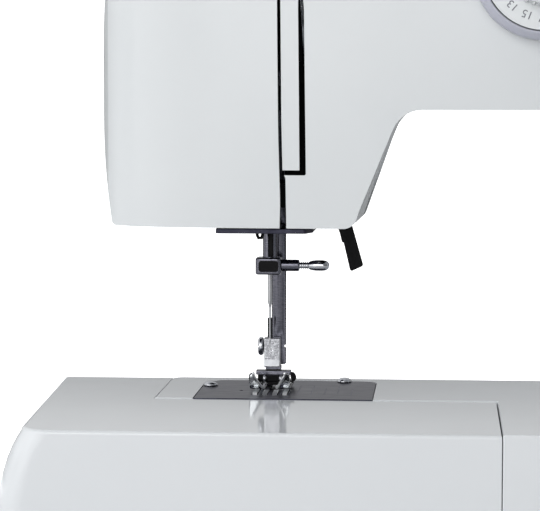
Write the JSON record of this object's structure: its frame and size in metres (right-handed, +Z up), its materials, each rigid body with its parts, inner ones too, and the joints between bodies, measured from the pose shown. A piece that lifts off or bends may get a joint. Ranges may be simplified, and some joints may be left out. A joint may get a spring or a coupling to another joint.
{
  "type": "sewing machine",
  "caption": "Domestic free-arm sewing machine: arm over a flat bed, needle bar, presser foot, lift-off extension table, dials, handwheel and folding handle.",
  "frame": {"origin": "middle of the footprint, on the table under the rubber feet", "axes": "+X to the handwheel end, +Y to the back, +Z up"},
  "size_m": [0.39, 0.164, 0.312],
  "materials": {
    "casing_plastic": "gloss moulded ABS, cool white",
    "grey_plastic": "satin grey moulding",
    "black_plastic": "satin black moulding",
    "plate_steel": "satin plated steel, slate grey",
    "bright_chrome": "bright chrome plate",
    "steel": "ground steel",
    "cast_alloy": "as-cast alloy",
    "motor_paint": "black painted steel can",
    "black_rubber": "matt rubber",
    "clear_plastic": "clear styrene",
    "lamp_glass": "clear lamp glass"
  },
  "bodies": {
    "machine": {"base_tray": "casing_plastic", "bed_cover": "casing_plastic", "front_cover": "casing_plastic", "rear_cover": "casing_plastic", "frame_casting": "cast_alloy", "foot_left_front": "black_rubber", "foot_left_rear": "black_rubber", "foot_right_front": "black_rubber", "foot_right_rear": "black_rubber", "needle_plate": "plate_steel", "plate_screw_left": "bright_chrome", "plate_screw_right": "bright_chrome", "shuttle_race": "steel", "bobbin_case": "bright_chrome", "motor": "motor_paint", "timing_belt": "black_rubber", "motor_belt": "black_rubber", "head_base_plate": "plate_steel", "lamp_socket": "black_plastic", "lamp_bulb": "lamp_glass", "winder_stop": "grey_plastic", "power_inlet": "black_plastic"},
    "extension_table": {"extension_table": "casing_plastic"},
    "face_cover": {"face_cover": "casing_plastic"},
    "shuttle_cover": {"shuttle_cover": "casing_plastic"},
    "main_drive": {"upper_shaft": "steel", "crank_disc": "cast_alloy", "upper_timing_pulley": "grey_plastic", "drive_pulley": "grey_plastic", "hand_wheel": "casing_plastic"},
    "lower_drive": {"lower_shaft": "steel", "lower_timing_pulley": "grey_plastic"},
    "shuttle": {"shuttle_hook": "bright_chrome", "hook_shaft": "steel"},
    "bobbin": {"bobbin": "clear_plastic"},
    "motor_pulley": {"motor_pulley": "steel"},
    "needle_bar": {"needle_bar": "bright_chrome", "needle_clamp": "bright_chrome", "needle": "steel"},
    "needle_clamp_screw": {"needle_clamp_screw": "bright_chrome"},
    "take_up_lever": {"take_up_lever": "bright_chrome"},
    "presser_bar": {"presser_bar": "bright_chrome", "foot_holder": "cast_alloy"},
    "presser_foot": {"presser_foot": "bright_chrome"},
    "foot_thumb_screw": {"foot_thumb_screw": "bright_chrome"},
    "lifter_lever": {"lifter_lever": "black_plastic"},
    "feed_bar": {"feed_bar": "steel"},
    "feed_dog": {"feed_dog": "steel"},
    "pattern_dial": {"pattern_dial": "casing_plastic", "pattern_knob": "casing_plastic"},
    "stitch_length_dial": {"stitch_length_dial": "casing_plastic"},
    "tension_dial": {"tension_dial": "grey_plastic"},
    "reverse_lever": {"reverse_lever": "casing_plastic"},
    "carrying_handle": {"carrying_handle": "casing_plastic"},
    "spool_pin_left": {"spool_pin_left": "grey_plastic"},
    "spool_pin_right": {"spool_pin_right": "grey_plastic"},
    "winder_slide": {"winder_slide": "grey_plastic"},
    "winder_spindle": {"winder_spindle": "grey_plastic"},
    "power_switch": {"power_switch": "black_plastic"}
  },
  "joints": [
    {"name": "handwheel_turn", "type": "hinge", "parent": "machine", "child": "main_drive", "pos_m": [0.05, 0.043, 0.243], "axis": [1, 0, 0], "continuous": true},
    {"name": "lower_shaft_turn", "type": "hinge", "parent": "machine", "child": "lower_drive", "pos_m": [0.01, 0.055, 0.038], "axis": [1, 0, 0], "continuous": true},
    {"name": "hook_turn", "type": "hinge", "parent": "machine", "child": "shuttle", "pos_m": [-0.09, 0.048, 0.048], "axis": [0, 1, 0], "continuous": true},
    {"name": "motor_turn", "type": "hinge", "parent": "machine", "child": "motor_pulley", "pos_m": [0.151, 0.031, 0.105], "axis": [1, 0, 0], "continuous": true},
    {"name": "bobbin_spin", "type": "hinge", "parent": "machine", "child": "bobbin", "pos_m": [-0.09, 0.032, 0.048], "axis": [0, 1, 0], "continuous": true},
    {"name": "needle_bar_stroke", "type": "slide", "parent": "machine", "child": "needle_bar", "axis": [0, 0, -1], "range_m": [0, 0.03]},
    {"name": "clamp_screw_turn", "type": "hinge", "parent": "needle_bar", "child": "needle_clamp_screw", "pos_m": [-0.072, 0.0422, 0.1322], "axis": [1, 0, 0], "continuous": true},
    {"name": "take_up_swing", "type": "hinge", "parent": "machine", "child": "take_up_lever", "pos_m": [-0.0735, 0.037, 0.231], "axis": [1, 0, 0], "range_deg": [0, 58]},
    {"name": "lifter_swing", "type": "hinge", "parent": "machine", "child": "lifter_lever", "pos_m": [-0.0604, 0.065, 0.161], "axis": [0, -1, 0], "range_deg": [0, 35]},
    {"name": "presser_lift", "type": "slide", "parent": "machine", "child": "presser_bar", "axis": [0, 0, 1], "range_m": [0, 0.006]},
    {"name": "foot_tilt", "type": "hinge", "parent": "presser_bar", "child": "presser_foot", "pos_m": [-0.0895, 0.0535, 0.08], "axis": [-1, 0, 0], "range_deg": [0, 5]},
    {"name": "thumb_screw_turn", "type": "hinge", "parent": "presser_bar", "child": "foot_thumb_screw", "pos_m": [-0.095, 0.055, 0.0935], "axis": [1, 0, 0], "continuous": true},
    {"name": "feed_travel", "type": "slide", "parent": "machine", "child": "feed_bar", "axis": [0, 1, 0], "range_m": [-0.0014, 0.0014]},
    {"name": "feed_drop", "type": "slide", "parent": "feed_bar", "child": "feed_dog", "axis": [0, 0, -1], "range_m": [0, 0.0014]},
    {"name": "pattern_select", "type": "hinge", "parent": "machine", "child": "pattern_dial", "pos_m": [0.0316, -0.002, 0.264], "axis": [0, -1, 0], "continuous": true},
    {"name": "stitch_length_set", "type": "hinge", "parent": "machine", "child": "stitch_length_dial", "pos_m": [0.115, -0.002, 0.264], "axis": [0, -1, 0], "range_deg": [0, 270]},
    {"name": "tension_set", "type": "hinge", "parent": "machine", "child": "tension_dial", "pos_m": [-0.056, 0.025, 0.288], "axis": [1, 0, 0], "range_deg": [-120, 120]},
    {"name": "reverse_press", "type": "slide", "parent": "machine", "child": "reverse_lever", "axis": [0, 0, -1], "range_m": [0, 0.009], "stiffness_N_per_m": 250, "springref_m": -0.002},
    {"name": "handle_raise", "type": "hinge", "parent": "machine", "child": "carrying_handle", "pos_m": [0.0025, 0.035, 0.2945], "axis": [1, 0, 0], "range_deg": [0, 90]},
    {"name": "spool_pin_left_raise", "type": "slide", "parent": "machine", "child": "spool_pin_left", "axis": [0, 0, 1], "range_m": [0, 0.038]},
    {"name": "spool_pin_right_raise", "type": "slide", "parent": "machine", "child": "spool_pin_right", "axis": [0, 0, 1], "range_m": [0, 0.038]},
    {"name": "winder_engage", "type": "slide", "parent": "machine", "child": "winder_slide", "axis": [1, 0, 0], "range_m": [0, 0.006]},
    {"name": "winder_spin", "type": "hinge", "parent": "winder_slide", "child": "winder_spindle", "pos_m": [0.115, 0.033, 0.3], "axis": [0, 0, 1], "continuous": true},
    {"name": "power_rock", "type": "hinge", "parent": "machine", "child": "power_switch", "pos_m": [0.166, -0.053, 0.04], "axis": [0, -1, 0], "range_deg": [0, 8]},
    {"name": "face_cover_open", "type": "hinge", "parent": "machine", "child": "face_cover", "pos_m": [-0.1662, 0.055, 0.225], "axis": [0, 0, -1], "range_deg": [0, 100]},
    {"name": "shuttle_cover_open", "type": "hinge", "parent": "machine", "child": "shuttle_cover", "pos_m": [-0.091, 0.0121, 0.0321], "axis": [1, 0, 0], "range_deg": [0, 75]},
    {"name": "table_slide_off", "type": "slide", "parent": "machine", "child": "extension_table", "axis": [-1, 0, 0], "range_m": [0, 0.17]}
  ],
  "couplings": [
    {"joint": "lower_shaft_turn", "follows": "handwheel_turn", "ratio": 1},
    {"joint": "hook_turn", "follows": "handwheel_turn", "ratio": 1},
    {"joint": "motor_turn", "follows": "handwheel_turn", "ratio": 4},
    {"joint": "lifter_swing", "follows": "presser_lift", "rad_per_m": 101.81}
  ]
}
